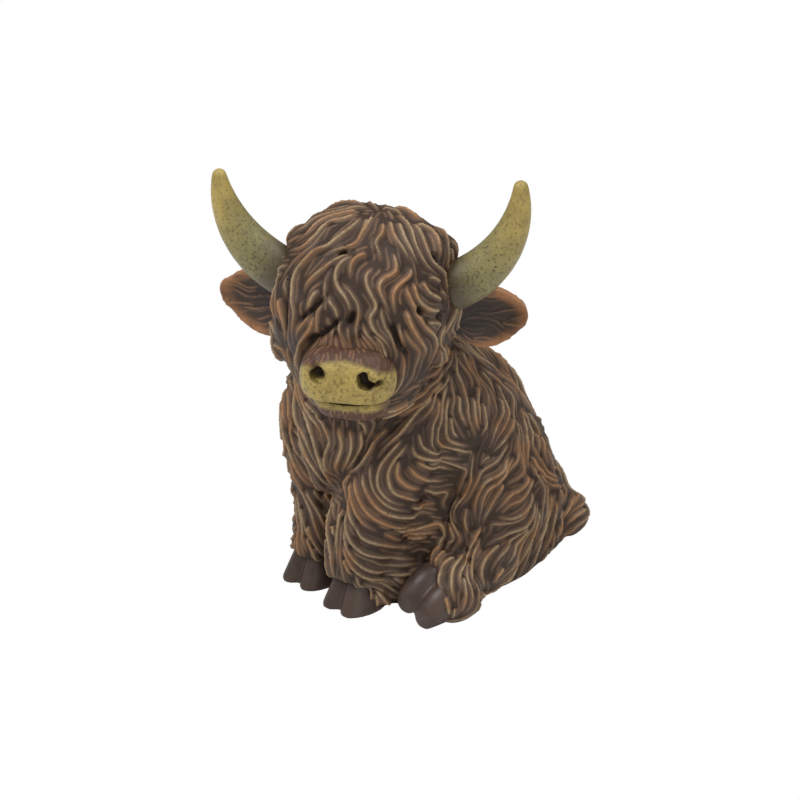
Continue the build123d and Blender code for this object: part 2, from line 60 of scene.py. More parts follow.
# The hair skin is one closed mesh over these castings, and each face of it belongs to the nearest of them
COAT_NODES = (
    "torso_shell", "chest_mane", "head", "forelock", "tail", "tail_tuft",
    "front_leg_left", "front_leg_right", "hind_leg_left", "hind_leg_right",
)
HEAD_NODES = ("head", "forelock")
# The castings of these have the main locks already
LOCKED_NODES = ("torso_shell", "hind_leg_left", "hind_leg_right")
WELD = 0.002
GROW = 0.35
VOXEL = 0.78
SKIN_ROUNDS = 14
SMOOTH_SHARE = 0.5
TUFT_SUBDIVISIONS = 4
FLOW_ROUNDS = 16

# Where the hair starts and where it runs to
HEAD_CENTRE = np.array([4.0, -28.0, 103.0])
HEAD_TURN = math.radians(33)
HEAD_FRONT = np.array([math.sin(HEAD_TURN), -math.cos(HEAD_TURN), 0.0])
HEAD_LEFT = np.array([math.cos(HEAD_TURN), math.sin(HEAD_TURN), 0.0])
CROWN = HEAD_CENTRE + 2.4 * HEAD_LEFT + 2.3 * HEAD_FRONT + 32.3 * UP
MANE_TIP = np.array([0.0, -48.0, 37.0])
MANE_FALL = 0.8
TAIL_PATH = np.array(
    [[2, 41, 26], [8, 50.5, 18.5], [16.5, 49, 13], [24, 46, 10], [30, 42.5, 8.5], [34, 36, 5]]
)

# The way the hair runs on legs, thighs and torso, and between which places along the body it turns
FRONT_LEG_WAY = np.array([0.0, 0.9, -0.55])
THIGH_FRONT_WAY = np.array([0.0, -0.85, -0.6])
THIGH_REAR_WAY = np.array([0.0, 0.1, -1.0])
THIGH_TURN = (8.0, 38.0)
BACK_WAY = np.array([0.0, 0.4, -1.0])
CHEST_WAY = np.array([0.0, -0.3, -1.0])
CHEST_TURN = (-12.0, -30.0)

# How far the hair sways from that way, in radians, and over what lengths
WAVE_ANGLE = 0.42
WAVE_LENGTHS = (13.0, 17.0, 22.0, 30.0)
WAVES_PER_LENGTH = 2

# Strands: how far apart, how long and how high
STEP = 0.6
LOCK_SPACING = {"head": 9.5, "body": 8.0}
LOCK_LENGTHS = (12.0, 48.0)
LOCK_HEIGHT = 1.1
LOCK_WIDTH = 4.4
RIDGE_SPACING = {"head": 3.4, "body": 2.6, "bridge": 1.5}
RIDGE_LENGTHS = (4.0, 55.0)
RIDGE_HEIGHT = 1.8
RIDGE_WIDTH = 0.45
RIDGE_FOOT = 1.6
CREST_WIDTH = 1.5 * RIDGE_WIDTH
FINE_SPACING = {"head": 1.8, "body": 1.5}
FINE_LENGTHS = (3.0, 20.0)
FINE_HEIGHT = 0.45
FINE_WIDTH = 0.4
FINE_CREST = 0.6
GUIDE_REACH = 3.5
GAP_DEPTH = 2.4
GAP_WIDTH = 1.25
LEG_GAP_SHARE = 0.55
SKIN_SINK = 0.6
CROWN_FADE = (0.5, 4.0)
FLOOR_FADE = (0.4, 3.0)
BRIDGE_FLATNESS = 0.75
LOOSE_ROUNDS = 6

# The shares of its length over which a strand rises at its root and thins out at its tip
LOCK_ENDS = (0.2, 0.2)
RIDGE_ENDS = (0.12, 0.45)
FINE_ENDS = (0.2, 0.3)
GAP_ENDS = (0.3, 0.3)

# Tracing: the longest jump within a stroke, how far a point may be laid from a vertex, how often a path is
# smoothed, how close to its neighbours a strand may run, and the spread of lengths and strengths
STROKE_JUMP = 13.0
LAID_REACH = 2.0
PATH_ROUNDS = 3
MERGE = 0.4
HALF_LENGTHS = (0.35, 0.5)
STRENGTHS = (0.4, 1.0)

# Tufts of hair that fall over the left hooves and fill the hollow between the legs: middles and half sizes
TUFTS = (
    ((21.5, -32.0, 12.0), (8.0, 8.5, 13.0)),
    ((21.0, -38.0, 8.0), (5.0, 7.0, 8.0)),
    ((25.0, -22.0, 26.0), (7.0, 9.0, 10.0)),
    ((36.0, -25.0, 16.0), (8.0, 6.0, 6.0)),
    ((43.0, -26.5, 8.0), (8.0, 10.5, 9.5)),
    ((42.0, -10.0, 12.0), (6.5, 13.0, 9.0)),
)

# Where the coat is fuller than the castings, or thinner: middles, how far it reaches and how much
SWELLS = (
    ((-19.0, -50.0, 89.0), 13.0, 4.0),
    ((24.0, -7.0, 122.0), 9.0, 2.5),
    ((22.0, 22.0, 70.0), 20.0, 3.0),
    ((-22.0, 22.0, 70.0), 20.0, 3.0),
    ((28.0, 28.0, 44.0), 10.0, 2.3),
    ((-28.0, 28.0, 44.0), 10.0, 2.3),
    ((-22.0, -40.0, 22.0), 14.0, -1.7),
    ((33.0, 47.0, 9.0), 10.0, -2.0),
    ((38.0, 24.0, 4.0), 12.0, -1.7),
)

# Strokes over the photograph, in the pixels of three enlargements of it: each is given by its
# corner in the photograph and by how many times larger it is
HEAD_SHEET = (255.0, 190.0, 6.532)
BODY_SHEET = (270.0, 390.0, 4.736)
LEG_SHEET = (260.0, 390.0, 4.48)
HEAD_STROKES = (
    ((690, 135), (560, 160), (440, 200), (330, 290), (240, 345), (140, 390)),
    ((680, 160), (590, 200), (490, 215), (410, 290), (330, 370), (200, 400),
     (150, 440), (140, 560), (160, 700), (180, 830), (195, 1000)),
    ((700, 170), (650, 240), (560, 300), (480, 370), (400, 400), (330, 470),
     (260, 560), (245, 680), (265, 800), (250, 900), (270, 1050)),
    ((740, 180), (700, 280), (650, 360), (560, 380), (470, 410), (430, 440)),
    ((620, 420), (500, 480), (390, 560), (330, 620), (310, 690)),
    ((640, 430), (560, 490), (530, 560), (545, 640), (590, 700), (620, 780), (600, 860)),
    ((735, 420), (660, 450), (625, 510), (620, 590)),
    ((835, 220), (830, 290), (790, 350), (815, 420), (820, 480)),
    ((770, 180), (720, 260), (670, 330), (600, 360)),
    ((770, 500), (725, 570), (740, 650), (790, 760), (750, 830),
     (780, 920), (850, 990), (890, 1080), (880, 1140)),
    ((900, 400), (920, 530), (830, 590), (810, 650), (850, 740), (890, 830)),
    ((1020, 500), (1010, 560), (930, 630), (900, 700), (920, 830)),
    ((930, 210), (980, 330), (1040, 440), (1080, 500)),
    ((880, 200), (910, 300), (990, 420), (1020, 480)),
    ((1010, 200), (1080, 290), (1130, 420), (1180, 500), (1240, 590), (1270, 700), (1240, 830)),
    ((1040, 220), (1150, 280), (1200, 380), (1210, 470)),
    ((1033, 597), (1061, 710), (1132, 781), (1231, 781)),
    ((1090, 597), (1146, 682), (1217, 725)),
    ((1132, 569), (1217, 626), (1274, 739)),
    ((980, 780), (1010, 870), (1060, 960), (1110, 1040), (1100, 1120)),
    ((1330, 560), (1365, 700), (1365, 830), (1320, 900),
     (1240, 1000), (1230, 1100), (1170, 1200), (1100, 1260)),
    ((1330, 640), (1300, 800), (1240, 930), (1240, 1010)),
    ((90, 560), (95, 700), (110, 850), (130, 960)),
    ((60, 760), (90, 880), (140, 1000), (200, 1130), (240, 1250), (320, 1400)),
    ((160, 1080), (230, 1250), (330, 1380), (430, 1500)),
    ((1260, 1060), (1150, 1240), (1000, 1370), (820, 1450), (640, 1530)),
    ((1320, 1050), (1230, 1250), (1080, 1400), (920, 1490)),
)
# Deep gaps between the locks of the fringe, carved and painted dark as painted shade
HEAD_GAPS = (
    ((215, 560), (195, 700), (200, 850), (195, 990)),
    ((460, 640), (430, 720), (360, 780), (290, 860), (270, 920)),
    ((550, 740), (550, 830), (500, 900), (430, 950), (350, 1000), (320, 1080)),
    ((640, 780), (630, 850), (600, 890)),
    ((830, 830), (900, 900), (940, 1000), (1000, 1100), (1010, 1150)),
    ((1190, 590), (1240, 680)),
    ((1050, 760), (1090, 820)),
    ((1180, 800), (1230, 825)),
    ((1165, 400), (1190, 490)),
    ((530, 415), (610, 392)),
)
BODY_STROKES = (
    ((70, 70), (75, 180), (110, 330), (170, 430), (240, 480), (330, 515)),
    ((110, 40), (130, 150), (160, 260), (220, 370), (270, 450), (335, 500)),
    ((150, 60), (200, 200), (230, 300), (260, 380), (300, 460), (340, 490)),
    ((200, 100), (260, 170), (285, 240), (260, 310), (270, 380), (330, 450)),
    ((330, 170), (340, 270), (310, 370), (330, 420)),
    ((380, 180), (385, 270), (360, 350), (330, 400)),
    ((430, 180), (430, 260), (400, 330), (350, 390)),
    ((560, 180), (500, 230), (470, 300), (420, 370), (350, 400)),
    ((770, 20), (690, 110), (620, 200), (540, 280), (500, 340)),
    ((800, 30), (790, 120), (760, 200), (770, 270), (800, 300)),
    ((850, 30), (830, 150), (840, 230), (900, 260), (970, 270)),
    ((890, 20), (900, 110), (940, 180)),
    ((960, 30), (970, 130), (1000, 200)),
    ((700, 200), (720, 270), (780, 300), (870, 300)),
    ((670, 250), (690, 310), (780, 330), (930, 325)),
    ((630, 230), (560, 310), (520, 370), (510, 450), (560, 520), (660, 555)),
    ((660, 250), (590, 330), (560, 400), (580, 480), (650, 510), (720, 520)),
    ((610, 330), (600, 400), (640, 450), (720, 470), (860, 480)),
    ((650, 360), (700, 410), (780, 430), (860, 430)),
    ((690, 340), (760, 370), (830, 370), (880, 390)),
    ((440, 380), (450, 460), (510, 560), (600, 600), (700, 580), (800, 590)),
    ((400, 400), (420, 500), (470, 590), (560, 640), (660, 640), (760, 620)),
    ((380, 430), (390, 530), (430, 620), (520, 680), (640, 690), (750, 700)),
    ((370, 480), (380, 600), (430, 690), (530, 730), (640, 745), (740, 740)),
    ((360, 560), (370, 680), (420, 760), (520, 790), (620, 800), (720, 800)),
    ((355, 640), (370, 750), (430, 830), (520, 860), (640, 860)),
    ((350, 720), (380, 820), (440, 880), (540, 900), (600, 940)),
    ((350, 800), (390, 890), (440, 960), (520, 1020)),
    ((340, 860), (370, 940), (420, 1000), (480, 1020)),
    ((340, 560), (330, 640), (320, 740), (310, 830)),
    ((210, 470), (260, 560), (300, 640), (310, 700)),
    ((150, 560), (170, 650), (210, 740), (290, 800)),
    ((130, 480), (150, 600), (160, 700), (180, 780), (240, 820)),
    ((180, 640), (210, 720), (260, 790), (300, 830)),
)
FLANK_STROKES = (
    ((1010, 60), (1020, 150), (1000, 230)),
    ((1080, 30), (1100, 110), (1060, 210), (1030, 290)),
    ((1150, 130), (1110, 230), (1050, 300)),
    ((1190, 80), (1210, 180), (1220, 290), (1230, 390)),
    ((1220, 100), (1270, 200), (1300, 290), (1330, 370)),
    ((1240, 310), (1270, 370), (1330, 420), (1370, 440)),
    ((980, 290), (960, 380), (930, 480), (880, 550), (870, 600), (900, 650)),
    ((1140, 310), (1100, 390), (1010, 450), (970, 540), (980, 640)),
    ((1110, 440), (1060, 520), (1020, 600), (1010, 650)),
    ((930, 560), (920, 620), (940, 690)),
    ((1230, 400), (1190, 470), (1120, 520), (1060, 590)),
    ((1250, 480), (1220, 560), (1150, 610), (1070, 600)),
    ((1260, 520), (1230, 620), (1130, 680), (1010, 740)),
    ((1010, 640), (960, 720), (930, 800), (900, 880), (910, 980)),
    ((1000, 700), (960, 800), (960, 890), (980, 960)),
    ((1090, 730), (1020, 800), (1000, 880), (1020, 950)),
    ((1230, 650), (1160, 740), (1120, 840), (1110, 920)),
    ((1280, 560), (1250, 680), (1200, 790), (1160, 880)),
    ((1340, 490), (1310, 600), (1280, 700), (1240, 800), (1210, 880)),
    ((1360, 520), (1340, 640), (1310, 740), (1270, 820)),
    ((1390, 560), (1370, 660), (1350, 740)),
    ((880, 790), (820, 830), (800, 900), (820, 960)),
    ((930, 760), (870, 840), (860, 930), (880, 1020)),
    ((830, 760), (790, 800), (780, 850)),
    ((1440, 500), (1400, 580), (1380, 660)),
    ((1490, 560), (1440, 600), (1400, 650), (1380, 720)),
    ((1510, 600), (1450, 650), (1400, 710)),
)
# Shallower gaps on the legs, carved and painted dark as painted shade
LEG_GAPS = (
    ((290, 440), (270, 500), (305, 560)),
    ((900, 340), (890, 420), (850, 520), (835, 640), (785, 740), (735, 805)),
    ((975, 655), (930, 610)),
    ((430, 560), (430, 660), (460, 740)),
    ((995, 240), (960, 330), (950, 420)),
    ((130, 120), (150, 180)),
    ((555, 890), (595, 935)),
)


def unit(vectors):
    """The same vectors, each one long."""
    lengths = np.linalg.norm(vectors, axis=-1, keepdims=True)
    return vectors / np.maximum(lengths, 1e-9)


def dots(a, b):
    """The dot product row by row, as a column."""
    return (a * b).sum(axis=-1, keepdims=True)


def ramp(values, low, high):
    """Smooth step from 0 at low to 1 at high."""
    t = np.clip((values - low) / (high - low), 0.0, 1.0)
    return t * t * (3.0 - 2.0 * t)


def on_head(points):
    """Points as seen from the head's centre: to its left, to its front and up."""
    offset = points - HEAD_CENTRE
    return offset @ HEAD_LEFT, offset @ HEAD_FRONT, offset[:, 2]


def facing(location, target):
    """The turn that looks from one place to another."""
    return (target - location).to_track_quat("-Z", "Y")


def kd_tree(points):
    """A tree that finds the nearest of these points."""
    tree = KDTree(len(points))
    for number, point in enumerate(points.tolist()):
        tree.insert(point, number)
    tree.balance()
    return tree


def nearest(tree, points):
    """The number of the point in the tree that is nearest to each of these."""
    return np.array([tree.find(point)[1] for point in points.tolist()])


# Skin


def quad_sides(quads):
    """The four sides of each quad, as pairs of vertices."""
    return np.vstack([quads[:, [i, (i + 1) % 4]] for i in range(4)])


class Skin:
    """A closed mesh of quads in millimetres, with its edges and vertex normals."""

    def __init__(self, verts, quads):
        self.verts = verts
        self.quads = quads
        self.edges = np.unique(np.sort(quad_sides(quads), axis=1), axis=0)
        self.links = np.bincount(self.edges.ravel(), minlength=len(verts)).astype(float)[:, None]
        self.update_normals()

    def update_normals(self):
        corners = self.verts[self.quads]
        across = np.cross(corners[:, 2] - corners[:, 0], corners[:, 3] - corners[:, 1])
        total = np.zeros_like(self.verts)
        for corner in range(4):
            for axis in range(3):
                total[:, axis] += np.bincount(self.quads[:, corner], across[:, axis], len(self.verts))
        self.normals = unit(total)

    def neighbour_mean(self, values):
        total = np.zeros_like(values)
        for near, far in (self.edges.T, self.edges.T[::-1]):
            for column in range(values.shape[1]):
                total[:, column] += np.bincount(near, values[far, column], len(values))
        return total / self.links

    def smooth(self, rounds):
        for _ in range(rounds):
            self.verts += SMOOTH_SHARE * (self.neighbour_mean(self.verts) - self.verts)
        self.update_normals()

    def keep_above_floor(self):
        self.verts[:, 2] = np.maximum(self.verts[:, 2], 0.0)
        self.update_normals()

    def raise_by(self, height):
        """Move each vertex out along its normal."""
        self.verts += height[:, None] * self.normals
        self.keep_above_floor()


def mesh_arrays(mesh):
    """The vertices and quads of a mesh that has only quads."""
    verts = np.empty(len(mesh.vertices) * 3)
    mesh.vertices.foreach_get("co", verts)
    corners = np.empty(len(mesh.loops), dtype=int)
    mesh.loops.foreach_get("vertex_index", corners)
    return verts.reshape(-1, 3), corners.reshape(-1, 4)


def new_mesh(name, verts, faces):
    """A mesh of these vertices and faces."""
    mesh = bpy.data.meshes.new(name)
    mesh.from_pydata(verts.tolist(), [], faces.tolist())
    mesh.validate()
    return mesh


def with_modifier(mesh, kind, **settings):
    """The mesh that a modifier makes of this one."""
    holder = bpy.data.objects.new("work", mesh)
    bpy.context.scene.collection.objects.link(holder)
    modifier = holder.modifiers.new(kind, kind)
    for key, value in settings.items():
        setattr(modifier, key, value)
    shown = holder.evaluated_get(bpy.context.evaluated_depsgraph_get())
    result = bpy.data.meshes.new_from_object(shown)
    bpy.data.objects.remove(holder)
    return result


def casting(name, grow=0.0):
    """The mesh of a casting in millimetres, welded and grown outwards."""
    work = bmesh.new()
    work.from_mesh(nodes[name].data)
    bmesh.ops.scale(work, vec=(1 / MM,) * 3, verts=work.verts)
    bmesh.ops.remove_doubles(work, verts=work.verts, dist=WELD)
    bmesh.ops.recalc_face_normals(work, faces=work.faces)
    work.normal_update()
    for vert in work.verts:
        vert.co += vert.normal * grow
    mesh = bpy.data.meshes.new(name + "_grown")
    work.to_mesh(mesh)
    work.free()
    return mesh


def largest_part(verts, quads):
    """The largest connected part of a mesh."""
    sides = quad_sides(quads)
    label = np.arange(len(verts))
    while True:
        low = np.minimum(label[sides[:, 0]], label[sides[:, 1]])
        lower = label.copy()
        np.minimum.at(lower, sides[:, 0], low)
        np.minimum.at(lower, sides[:, 1], low)
        lower = lower[lower]
        if np.array_equal(lower, label):
            break
        label = lower
    keep = label == np.bincount(label).argmax()
    place = np.cumsum(keep) - 1
    return verts[keep], place[quads[keep[quads[:, 0]]]]


def skin_over(names, voxel, grow, rounds, tufts=()):
    """One closed skin over some castings and tufts, rounded where they meet."""
    union = bmesh.new()
    for name in names:
        union.from_mesh(casting(name, grow))
    for middle, half_size in tufts:
        place = Matrix.Translation(middle) @ Matrix.Diagonal((*half_size, 1.0))
        bmesh.ops.create_icosphere(union, subdivisions=TUFT_SUBDIVISIONS, radius=1.0, matrix=place)
    mesh = bpy.data.meshes.new("union")
    union.to_mesh(mesh)
    union.free()
    remeshed = with_modifier(mesh, "REMESH", mode="VOXEL", voxel_size=voxel)
    skin = Skin(*largest_part(*mesh_arrays(remeshed)))
    skin.smooth(rounds)
    return skin


def nearest_node(points):
    """For each point, the number in COAT_NODES of the nearest casting."""
    verts, faces, owner = [], [], []
    for number, name in enumerate(COAT_NODES):
        mesh = casting(name)
        start = len(verts)
        verts.extend(vert.co[:] for vert in mesh.vertices)
        faces.extend(tuple(start + i for i in face.vertices) for face in mesh.polygons)
        owner.extend([number] * len(mesh.polygons))
    tree = BVHTree.FromPolygons(verts, faces)
    found = [tree.find_nearest(point)[2] for point in points.tolist()]
    return np.array(owner)[found]


def is_any(owner, names):
    """Whether each vertex belongs to one of these castings."""
    return np.isin(owner, [COAT_NODES.index(name) for name in names])


# The way the hair runs


def curve(points):
    """A smooth line through some points, at even steps."""
    points = np.array(points, dtype=float)
    ends = np.vstack([2 * points[0] - points[1], points, 2 * points[-1] - points[-2]])
    parts = []
    for a, b, c, d in zip(ends, ends[1:], ends[2:], ends[3:]):
        count = max(2, round(np.linalg.norm(c - b) / STEP))
        t = np.linspace(0, 1, count, endpoint=False)[:, None]
        bend = (2 * a - 5 * b + 4 * c - d) * t ** 2 + (3 * b - a - 3 * c + d) * t ** 3
        parts.append(0.5 * (2 * b + (c - a) * t + bend))
    return np.vstack(parts + [points[-1:]])


def laid(skin, tree, points):
    """Points moved onto the skin."""
    found = nearest(tree, points)
    lift = dots(points - skin.verts[found], skin.normals[found])
    onto = points - lift * skin.normals[found]
    off = np.linalg.norm(onto - skin.verts[found], axis=1, keepdims=True)
    return np.where(off > LAID_REACH, skin.verts[found], onto)


def cast_strokes(skin, sheets):
    """The given strokes cast from the camera onto the skin, broken where they pass an edge."""
    tree = BVHTree.FromPolygons(skin.verts.tolist(), skin.quads.tolist())
    eye = EYE / MM
    turn = facing(EYE, TARGET)
    view = SENSOR / LENS
    runs = []
    for (corner_x, corner_y, zoom), strokes in sheets:
        for stroke in strokes:
            run = []
            for x, y in stroke:
                across = (corner_x + x / zoom) / PHOTO_SIZE - 0.5
                down = (corner_y + y / zoom) / PHOTO_SIZE - 0.5
                hit = tree.ray_cast(eye, turn @ Vector((view * across, -view * down, -1.0)))[0]
                if hit is None:
                    continue
                if run and (hit - run[-1]).length > STROKE_JUMP:
                    runs.append(run)
                    run = []
                run.append(hit)
            runs.append(run)
    return [np.array([point[:] for point in run]) for run in runs if len(run) > 1]


def on_skin(skin, runs):
    """Smooth strands on the skin through the points of each run."""
    tree = kd_tree(skin.verts)
    return [laid(skin, tree, curve(run)) for run in runs]


def mirrored(runs):
    """The same runs on the other side of the body."""
    return [run * np.array([-1.0, 1.0, 1.0]) for run in runs]


def along_path(points, path):
    """The direction of the nearest stretch of a path."""
    middles = (path[1:] + path[:-1]) / 2
    gaps = np.linalg.norm(points[:, None, :] - middles[None], axis=2)
    return unit(path[1:] - path[:-1])[gaps.argmin(axis=1)]


def hair_way(points, node):
    """The way the hair of one casting runs at these points, before it is laid on the skin."""
    if node in HEAD_NODES:
        return unit(points - CROWN)
    if node == "chest_mane":
        return unit(MANE_TIP - points) - MANE_FALL * UP
    if node in ("tail", "tail_tuft"):
        return along_path(points, TAIL_PATH)
    if node.startswith("front_leg"):
        return np.tile(FRONT_LEG_WAY, (len(points), 1))
    if node.startswith("hind_leg"):
        rear = ramp(points[:, 1:2], *THIGH_TURN)
        return (1 - rear) * THIGH_FRONT_WAY + rear * THIGH_REAR_WAY
    front = ramp(points[:, 1:2], *CHEST_TURN)
    return (1 - front) * BACK_WAY + front * CHEST_WAY


def wave(points, random):
    """A smooth field between about -1 and 1."""
    total = np.zeros(len(points))
    for length in WAVE_LENGTHS:
        for _ in range(WAVES_PER_LENGTH):
            way = unit(random.normal(size=3))
            total += np.sin(points @ way * (2 * math.pi / length) + random.uniform(0, 2 * math.pi))
    return total / math.sqrt(WAVES_PER_LENGTH * len(WAVE_LENGTHS))


def hair_field(skin, owner, guides):
    """The way the hair runs at each vertex: along the guides near them, and blended and waved elsewhere."""
    way = np.zeros_like(skin.verts)
    for number, node in enumerate(COAT_NODES):
        here = owner == number
        way[here] = hair_way(skin.verts[here], node)
    points = np.vstack(guides)
    tangents = np.vstack([unit(np.gradient(path, axis=0)) for path in guides])
    found = nearest(kd_tree(points), skin.verts)
    gap = np.linalg.norm(skin.verts - points[found], axis=1, keepdims=True)
    share = np.exp(-((gap / GUIDE_REACH) ** 2))
    for _ in range(FLOW_ROUNDS):
        way = unit(way - dots(way, skin.normals) * skin.normals)
        way = way + skin.neighbour_mean(way)
        way = (1 - share) * unit(way) + share * tangents[found]
    way = unit(way - dots(way, skin.normals) * skin.normals)
    angle = WAVE_ANGLE * (1 - share) * wave(skin.verts, np.random.default_rng(SEED))[:, None]
    return np.cos(angle) * way + np.sin(angle) * np.cross(skin.normals, way)


# Strands


class Strands:
    """Sampled strands: points, tangents and strength along each."""

    def __init__(self, paths, strengths, ends=RIDGE_ENDS):
        rise, fall = ends
        points, tangents, levels = [], [], []
        for path, strength in zip(paths, strengths):
            path = path.copy()
            for _ in range(PATH_ROUNDS):
                path[1:-1] = (path[:-2] + 2 * path[1:-1] + path[2:]) / 4
            share = np.linspace(0, 1, len(path))
            points.append(path)
            tangents.append(unit(np.gradient(path, axis=0)))
            levels.append(strength * ramp(share, 0, rise) * ramp(share, 1, 1 - fall))
        self.points = np.vstack(points)
        self.tangents = np.vstack(tangents)
        self.levels = np.concatenate(levels)
        self.tree = kd_tree(self.points)

    def near(self, points):
        """How far each point is across from its nearest strand, and that strand's strength there."""
        found = nearest(self.tree, points)
        offset = points - self.points[found]
        along = np.clip(dots(offset, self.tangents[found]), -STEP, STEP)
        across = np.linalg.norm(offset - along * self.tangents[found], axis=1)
        return across, self.levels[found]


class Grid:
    """Points sorted into cells, to ask whether one is near."""

    def __init__(self, size):
        self.size = size
        self.cells = {}

    def cell(self, point):
        return tuple(int(math.floor(c / self.size)) for c in point)

    def add(self, points):
        for point in points:
            self.cells.setdefault(self.cell(point), []).append(point)

    def crowded(self, point, reach):
        x, y, z = self.cell(point)
        limit = reach * reach
        for i in (x - 1, x, x + 1):
            for j in (y - 1, y, y + 1):
                for k in (z - 1, z, z + 1):
                    for other in self.cells.get((i, j, k), ()):
                        if (other - point).length_squared < limit:
                            return True
        return False


def comb(skin, way, spacing, lengths, seed, given=()):
    """Evenly spaced paths that follow the hair over the skin, between the ones that are given."""
    random = np.random.default_rng(seed)
    verts = [Vector(v) for v in skin.verts.tolist()]
    normals = [Vector(n) for n in skin.normals.tolist()]
    ways = [Vector(w) for w in way.tolist()]
    tree = kd_tree(skin.verts)
    grid = Grid(float(spacing.max()))
    shortest, longest = lengths

    def trace(start, sense, reach):
        path = []
        point, near = verts[start].copy(), start
        for _ in range(int(reach / STEP)):
            point = point + ways[near] * (sense * STEP)
            near = tree.find(point)[1]
            point -= normals[near] * (point - verts[near]).dot(normals[near])
            if grid.crowded(point, MERGE * spacing[near]):
                break
            path.append(point.copy())
        return path

    for path in given:
        grid.add([Vector(point) for point in path.tolist()])
    paths = []
    for start in random.permutation(len(verts)).tolist():
        if grid.crowded(verts[start], spacing[start]):
            continue
        reach = random.uniform(*HALF_LENGTHS) * longest
        path = trace(start, -1, reach)[::-1] + [verts[start]] + trace(start, 1, reach)
        if len(path) * STEP < shortest:
            continue
        grid.add(path)
        paths.append(np.array([p[:] for p in path]))
    return paths


def strand_strengths(paths, seed):
    """How high each strand stands, as a share of the highest."""
    return np.random.default_rng(seed).uniform(*STRENGTHS, len(paths)).tolist()


# The bridge of the nose, seen from the head's centre: each edge fades between two places
BRIDGE_SIDE = (13.0, 9.0)
BRIDGE_FRONT = (18.0, 22.0)
BRIDGE_TOP = (3.0, -1.0)
BRIDGE_FOOT = (-22.0, -16.0)


def bridge_share(points):
    """1 on the bridge of the nose, where the hair is short and fine, else 0."""
    left, front, high = on_head(points)
    inside = ramp(np.abs(left), *BRIDGE_SIDE) * ramp(front, *BRIDGE_FRONT)
    return inside * ramp(high, *BRIDGE_TOP) * ramp(high, *BRIDGE_FOOT)


# Materials


def linear(code):
    """A colour such as 5B443C in linear light."""
    values = [int(code[i:i + 2], 16) / 255 for i in (0, 2, 4)]
    return [v / 12.92 if v <= 0.04045 else ((v + 0.055) / 1.055) ** 2.4 for v in values] + [1.0]


# Colours of the paints
COAT_DARK = linear("4B3A2F")
COAT_LIGHT = linear("5B4839")
COAT_VALLEY_WASH_AND_SHADE = linear("33261D")
COAT_WASH = linear("86603F")
TAN = linear("9C8667")
WARM_TAN = linear("9C744F")
SHORT_HAIR_DARK = linear("4C372C")
SHORT_HAIR_LIGHT = linear("7C5C44")
GAP_PAINTED_SHADE = linear("271B15")
HORN_LIGHT = linear("A08C4C")
HORN_DARK = linear("8A7842")
HORN_GREEN = linear("6A6643")
HORN_PALE_GREEN = linear("767047")
HORN_ROOT = linear("4A3F31")
HORN_SPECK = linear("443B26")
NOSE_LIGHT = linear("9A874C")
NOSE_DARK = linear("857340")
NOSE_WASH = linear("4E4024")
NOSTRIL_DARK_AND_SHADE = linear("2A1B15")
EAR_DARK = linear("38291F")
EAR_LIGHT = linear("7A5A43")
EAR_ORANGE = linear("946743")
EAR_SHADE = linear("211610")
PINHOLE_SHADE = linear("0C0706")

# Where noise goes over from one colour of a patch to the other
PATCH_EDGE = (0.35, 0.65)

# How far from the head's centre the horns turn green and dark and lose their specks, in metres
HORN_GREEN_REACH = (0.062, 0.042)
HORN_ROOT_REACH = (0.043, 0.032)
HORN_SPECK_REACH = (0.07, 0.035)

# The sockets of a mix node that hold colours
MIX_FIRST = 6
MIX_SECOND = 7
MIX_RESULT = 2

# Pinholes, painted as dark dots of painted shade: the share of the radius that is fully dark, and how sharply
# holes are chosen
HOLE_CORE = 0.6
HOLE_CHOICE = 0.02


